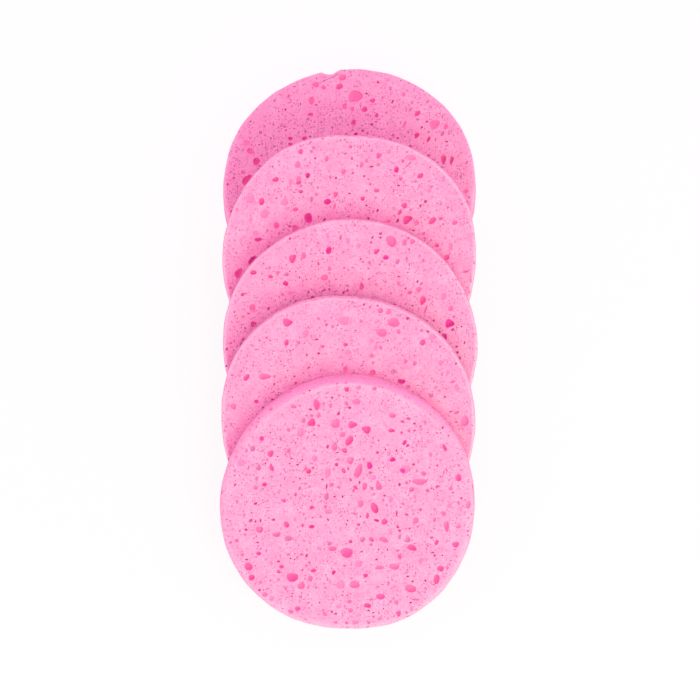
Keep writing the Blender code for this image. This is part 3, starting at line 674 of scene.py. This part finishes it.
def seen_pores(name, chance):
    """The pores that stand out in the photograph, laid back on the sponge's upper face."""
    to_sponge = seat(name).inverted()
    eye = to_sponge @ bpy.context.scene.camera.location
    level = bpy.context.scene.camera.rotation_euler.to_matrix()
    looks = {look[0]: look for look in PORE_LOOKS}
    words = SEEN_PORES[name].split()
    pores = []
    for start in range(0, len(words), WORDS_PER_PORE):
        *numbers, look = words[start:start + WORDS_PER_PORE]
        across, down, length, width, turn = map(float, numbers)
        frame_place = Vector((across + 0.5 - IMAGE_SIDE / 2,
                              IMAGE_SIDE / 2 - down - 0.5, 0)) / PIXELS_PER_MM * MM
        ray = to_sponge @ (AIM_POINT + level @ frame_place) - eye
        mouth = eye + ray * ((SPONGE_THICKNESS - eye.z) / ray.z)
        mouth, outward = skin_of_top(name, mouth)
        pores.append(Pore(mouth, outward, length / PIXELS_PER_MM * MM,
                          width / PIXELS_PER_MM * MM, math.radians(turn),
                          looks[look], chance))
    return pores


def scatter(name, side, chance, taken):
    """Pores at random places on one side, clustered, and clear of the ones taken there."""
    pores = []
    held = {}
    cube = 2 * PORE_CLASSES["large"][1]

    def claim(mouth, reach):
        key = cube_of(mouth, cube)
        if all((mouth - other).length > reach + other_reach
               for spot in cubes_near(key) for other, other_reach in held.get(spot, ())):
            held.setdefault(key, []).append((mouth, reach))
            return True
        return False

    for pore in taken:
        claim(pore.centre, pore.reach * SEEN_PORE_CLEARANCE)
    for kind, count in SCATTER[side].items():
        # the big pores that show are all in the table, so the rest lie under cover
        covered = side == "top" and kind in ("large", "medium")
        if covered and name == "front_sponge":
            continue
        drift = Vector((len(name), len(kind), len(side)))
        for _ in range(count):
            for _ in range(TRIES_PER_PORE):
                angle = chance.uniform(0, math.tau)
                ray = Vector((math.cos(angle), math.sin(angle), 0))
                rim = outline_radius(name, angle)
                if side == "wall":
                    mouth = ray * (rim - WALL_DRAFT / 2)
                    mouth.z = chance.uniform(*WALL_BAND) * SPONGE_THICKNESS
                    outward = ray
                else:
                    mouth = ray * rim * math.sqrt(chance.random())
                    outward = Vector((0, 0, -1))
                    if side == "top":
                        mouth, outward = skin_of_top(name, mouth)
                if covered and math.hypot(mouth.x, mouth.y + COVER_STEP) > SPONGE_RADIUS:
                    continue
                crowd = noise.noise(mouth / CLUSTER_SPACING + drift)
                width = chance.uniform(*PORE_CLASSES[kind])
                if chance.random() < STAY_CHANCE + CROWDED_STAY_CHANCE * crowd and claim(
                        mouth, width / 2 + PORE_WEB):
                    break
            else:
                continue
            look = chance.choice(SCATTERED_LOOKS[kind].split())
            pores.append(Pore(mouth, outward, width,
                              width * chance.uniform(*MOUTH_ROUNDNESS),
                              chance.uniform(0, math.tau), look, chance))
    return pores


def note_pores(piece, name, pores):
    """Stores, corner by corner, what the material has to know of the pores and the rim:
    painted shade in the pores, and a painted highlight and painted shade along the rim.

    Only the faces inside a pore get a value, so every mouth keeps its crisp edge.
    """
    mesh = piece.data
    places = np.empty(len(mesh.vertices) * 3, np.float32)
    mesh.vertices.foreach_get("co", places)
    x, y, z = places.reshape(-1, 3).T
    rim = np.array([outline_radius(name, a) for a in np.arctan2(y, x)])
    from_wall = rim - WALL_DRAFT * z / SPONGE_THICKNESS - np.hypot(x, y)
    depth = np.clip(np.minimum(np.minimum(SPONGE_THICKNESS - z, z), from_wall), 0, None)

    cell = np.empty(len(mesh.polygons), np.int32)
    mesh.attributes["cell"].data.foreach_get("value", cell)
    counts = np.empty(len(mesh.polygons), np.int32)
    mesh.polygons.foreach_get("loop_total", counts)
    cell = np.repeat(cell, counts)
    corners = np.empty(len(mesh.loops), np.int32)
    mesh.loops.foreach_get("vertex_index", corners)

    def by_pore(value_of, outside):
        return np.array([outside] + [value_of(pore) for pore in pores])[cell]

    fill = np.clip(depth[corners] / by_pore(lambda pore: FLOOR_SHARE * pore.depth, MM), 0, 1)
    heat = by_pore(lambda pore: pore.heat, 0.0)
    crisp = by_pore(
        lambda pore: min(max(MOUTH_CRISPNESS * pore.heat, LEAST_CRISPNESS), 1.0), 0.0)
    # a painted highlight: a paler line along the upper rim
    pale_width, pale_share = PALE_RIMS[name]
    pale = np.clip(1 - from_wall / pale_width, 0, 1) * pale_share
    # painted shade on the back of the front sponge's rounded rim, with a painted highlight
    # on its crest
    back_rim_shade = np.zeros_like(pale)
    if name in PAINTED_BACK_RIMS:
        inset, fade, crest_share = PAINTED_BACK_RIMS[name]
        back = np.clip(y / np.hypot(x, y), 0, 1) ** 2
        crest = np.clip(1 - np.abs(from_wall - inset) / fade, 0, 1) * crest_share
        back_rim_shade = back * np.clip((inset - from_wall) / fade, 0, 1)
        pale += back * (crest - pale)
    upper = np.clip(2 * z / SPONGE_THICKNESS - 1, 0, 1)
    # painted shade in the pores: the deeper a corner lies, the hotter and darker its pink,
    # and narrow pits mauve
    for label, values in (
            ("pore_heat", heat * (MOUTH_HEAT + (1 - MOUTH_HEAT) * fill ** 2)),
            ("mauve", by_pore(lambda pore: pore.mauve, 0.0)),
            ("in_pore", (cell > 0) * (crisp + (1 - crisp) * fill)),
            ("rim", (cell == 0) * (pale * upper)[corners]),
            ("back_rim_shade", (cell == 0) * (back_rim_shade * np.sqrt(upper))[corners])):
        attribute = mesh.attributes.new(label, "FLOAT", "CORNER")
        attribute.data.foreach_set("value", values.astype(np.float32))


def linear_colour(hex_code):
    """The linear colour, with its alpha, of an sRGB hex value."""
    channels = [int(hex_code[i:i + 2], 16) / 255 for i in (0, 2, 4)]
    return [c / 12.92 if c <= 0.04045 else ((c + 0.055) / 1.055) ** 2.4
            for c in channels] + [1.0]


def add_node(tree, kind, links=None, stops=(), **settings):
    """Adds a shader node with its settings, links its inputs and sets its ramp's stops.

    An input is named or numbered, and gets a value, a socket or a node's first output.
    """
    node = tree.nodes.new(kind)
    for key, value in settings.items():
        setattr(node, key, value)
    for socket, source in (links or {}).items():
        if isinstance(source, bpy.types.Node):
            source = source.outputs[0]
        if isinstance(source, bpy.types.NodeSocket):
            tree.links.new(source, node.inputs[socket])
        else:
            node.inputs[socket].default_value = source
    if stops:
        while len(node.color_ramp.elements) < len(stops):
            node.color_ramp.elements.new(1.0)
        for element, (place, colour) in zip(node.color_ramp.elements, stops):
            element.position = place
            element.color = linear_colour(colour) if isinstance(colour, str) else (
                colour, colour, colour, 1.0)
    return node


def cellulose_foam():
    """Regenerated cellulose foam, dyed pink, cut from its slab and dried.

    Dry and open-celled, it is matt and lets a little light in.  Its skin is uneven in dye
    and grain.  Its pores are painted a hotter, darker pink the deeper they go and narrow
    ones mauve, as painted shade; its upper rims carry a painted highlight, and the front
    sponge's back rim painted shade.
    """
    material = bpy.data.materials.new("pink_cellulose_foam")
    material.use_nodes = True
    tree = material.node_tree
    shader = tree.nodes["Principled BSDF"]
    place = add_node(tree, "ShaderNodeTexCoord").outputs["Object"]
    noted = {label: add_node(tree, "ShaderNodeAttribute",
                             attribute_name=label).outputs["Fac"]
             for label in ("pore_heat", "in_pore", "mauve", "back_rim_shade", "rim")}
    field = {}
    for label, (size, detail, distortion, stops) in FOAM_NOISES.items():
        field[label] = add_node(tree, "ShaderNodeTexNoise", {
            "Vector": place, "Scale": 1 / size, "Detail": detail,
            "Distortion": distortion})
        if stops:
            field[label] = add_node(tree, "ShaderNodeValToRGB", {"Fac": field[label]}, stops)

    # pinprick cells, painted mauve as the shade in tiny pits, and thin darker mauve lines,
    # in loose clusters
    pricks = 0.0
    for spacing, half_width, share in PINPRICKS:
        cells = add_node(tree, "ShaderNodeTexVoronoi",
                         {"Vector": place, "Scale": 1 / spacing, "Randomness": 1.0})
        draw = add_node(tree, "ShaderNodeSeparateColor", {"Color": cells.outputs["Color"]})
        reach = add_node(tree, "ShaderNodeMath", {0: draw, 1: half_width},
                         operation="MULTIPLY")
        hit = add_node(tree, "ShaderNodeMath", {0: reach, 1: cells.outputs["Distance"]},
                       operation="SUBTRACT")
        hit = add_node(tree, "ShaderNodeMath", {0: hit, 1: PINPRICK_EDGE},
                       operation="MULTIPLY", use_clamp=True)
        drawn = add_node(tree, "ShaderNodeMath", {0: draw, 1: 1 - share},
                         operation="GREATER_THAN")
        hit = add_node(tree, "ShaderNodeMath", {0: hit, 1: drawn}, operation="MULTIPLY")
        pricks = add_node(tree, "ShaderNodeMath", {0: pricks, 1: hit}, operation="MAXIMUM")
    # the painted shade at the back of the front sponge's rim, and the painted highlight
    # along the upper rims
    cover = {"back_rim_shade": noted["back_rim_shade"], "rim": noted["rim"]}
    for label, source in (("pinpricks", pricks), ("mauve_lines", field["mauve_lines"])):
        cover[label] = add_node(tree, "ShaderNodeMath",
                                {0: source, 1: field["crowding"]}, operation="MULTIPLY")

    skin = add_node(tree, "ShaderNodeMix", {
        0: 1.0, FIRST_COLOUR: field["patches"], SECOND_COLOUR: field["grain"]},
        data_type="RGBA", blend_type="MULTIPLY").outputs[MIXED_COLOUR]
    for label, (strength, colour) in SKIN_COVERS.items():
        cover[label] = add_node(tree, "ShaderNodeMath", {0: cover[label], 1: strength},
                                operation="MULTIPLY")
        skin = add_node(tree, "ShaderNodeMix", {
            0: cover[label], FIRST_COLOUR: skin, SECOND_COLOUR: linear_colour(colour)},
            data_type="RGBA").outputs[MIXED_COLOUR]
    # painted shade in the pits: a hotter, darker pink the deeper they go, greyed to mauve in
    # narrow ones
    pit = add_node(tree, "ShaderNodeValToRGB", {"Fac": noted["pore_heat"]}, PIT_PINKS)
    greyed = add_node(tree, "ShaderNodeMath", {0: noted["mauve"], 1: NARROW_PIT_SHADE_SHARE},
                      operation="MULTIPLY")
    pit = add_node(tree, "ShaderNodeMix", {
        0: greyed, FIRST_COLOUR: pit, SECOND_COLOUR: linear_colour(NARROW_PIT_SHADE_MAUVE)},
        data_type="RGBA").outputs[MIXED_COLOUR]
    colour = add_node(tree, "ShaderNodeMix", {
        0: noted["in_pore"], FIRST_COLOUR: skin, SECOND_COLOUR: pit},
        data_type="RGBA").outputs[MIXED_COLOUR]
    tree.links.new(colour, shader.inputs["Base Color"])

    height = add_node(tree, "ShaderNodeMath",
                      {0: field["roughness"], 1: cover["pinpricks"]}, operation="SUBTRACT")
    bump = add_node(tree, "ShaderNodeBump", {"Height": height, **SKIN_BUMP})
    tree.links.new(bump.outputs["Normal"], shader.inputs["Normal"])
    for socket, value in DRY_FOAM.items():
        shader.inputs[socket].default_value = value
    return material


def sponge(name, seed, material):
    """One sponge: its disc, its pores, and where it lies and what it stands for."""
    chance = random.Random(seed)
    piece = disc(name)
    pores = seen_pores(name, chance)
    pores += scatter(name, "top", chance, pores)
    for side in ("underside", "wall"):
        pores += scatter(name, side, chance, [])
    cut_pores(piece, pores)
    note_pores(piece, name, pores)
    piece.data.transform(seat(name))
    bpy.ops.object.select_all(action="DESELECT")
    piece.select_set(True)
    bpy.context.view_layer.objects.active = piece
    bpy.ops.object.shade_smooth_by_angle(angle=SMOOTH_BELOW)
    piece.data.materials.clear()
    piece.data.materials.append(material)
    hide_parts(name)
    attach(piece, name)


def studio():
    """A white table and sky, and one broad lamp from the front right."""
    world = bpy.data.worlds.new("studio")
    bpy.context.scene.world = world
    world.use_nodes = True
    tree = world.node_tree
    tree.nodes.clear()
    path = add_node(tree, "ShaderNodeLightPath").outputs
    seen = add_node(tree, "ShaderNodeMath",
                    {0: path["Is Camera Ray"], 1: path["Is Glossy Ray"]},
                    operation="MAXIMUM")
    seen = add_node(tree, "ShaderNodeMath", {0: seen, 1: path["Is Transmission Ray"]},
                    operation="MAXIMUM")
    fill = add_node(tree, "ShaderNodeBackground", {"Color": SKY_FILL, "Strength": 1.0})
    white = add_node(tree, "ShaderNodeBackground",
                     {"Color": linear_colour(WHITE), "Strength": 1.0})
    mixed = add_node(tree, "ShaderNodeMixShader", {0: seen, 1: fill, 2: white})
    add_node(tree, "ShaderNodeOutputWorld", {"Surface": mixed})

    lamp = bpy.data.lights.new("softbox", "AREA")
    lamp.shape = "SQUARE"
    lamp.size = LAMP_SIDE
    lamp.energy = LAMP_POWER
    lamp.color = LAMP_COLOUR
    softbox = bpy.data.objects.new("softbox", lamp)
    softbox.location = LAMP_PLACE
    aim = -Vector(softbox.location)
    softbox.rotation_euler = aim.to_track_quat("-Z", "Y").to_euler()
    bpy.context.scene.collection.objects.link(softbox)

    bpy.ops.object.select_all(action="DESELECT")
    bpy.ops.mesh.primitive_plane_add(size=TABLE_SIDE, location=(0, 0, TABLE_HEIGHT))
    table = bpy.context.active_object
    table.name = "table"
    # a matt white laminate, lit up for the camera so that it is as white as the sky
    surface = bpy.data.materials.new("white_laminate")
    surface.use_nodes = True
    tree = surface.node_tree
    tree.nodes.clear()
    path = add_node(tree, "ShaderNodeLightPath").outputs
    matt = add_node(tree, "ShaderNodeBsdfDiffuse", {"Color": linear_colour(TABLE_WHITE)})
    bright = add_node(tree, "ShaderNodeEmission",
                      {"Color": linear_colour(WHITE), "Strength": 1.0})
    share = add_node(tree, "ShaderNodeMath", {0: path["Is Camera Ray"], 1: TABLE_GLOW},
                     operation="MULTIPLY")
    mixed = add_node(tree, "ShaderNodeMixShader", {0: share, 1: matt, 2: bright})
    add_node(tree, "ShaderNodeOutputMaterial", {"Surface": mixed})
    table.data.materials.append(surface)


camera_rig()
foam = cellulose_foam()
for seed, name in enumerate(OUTLINE_SHARES):
    sponge(name, seed, foam)
studio()
bpy.context.scene.view_settings.view_transform = "Standard"
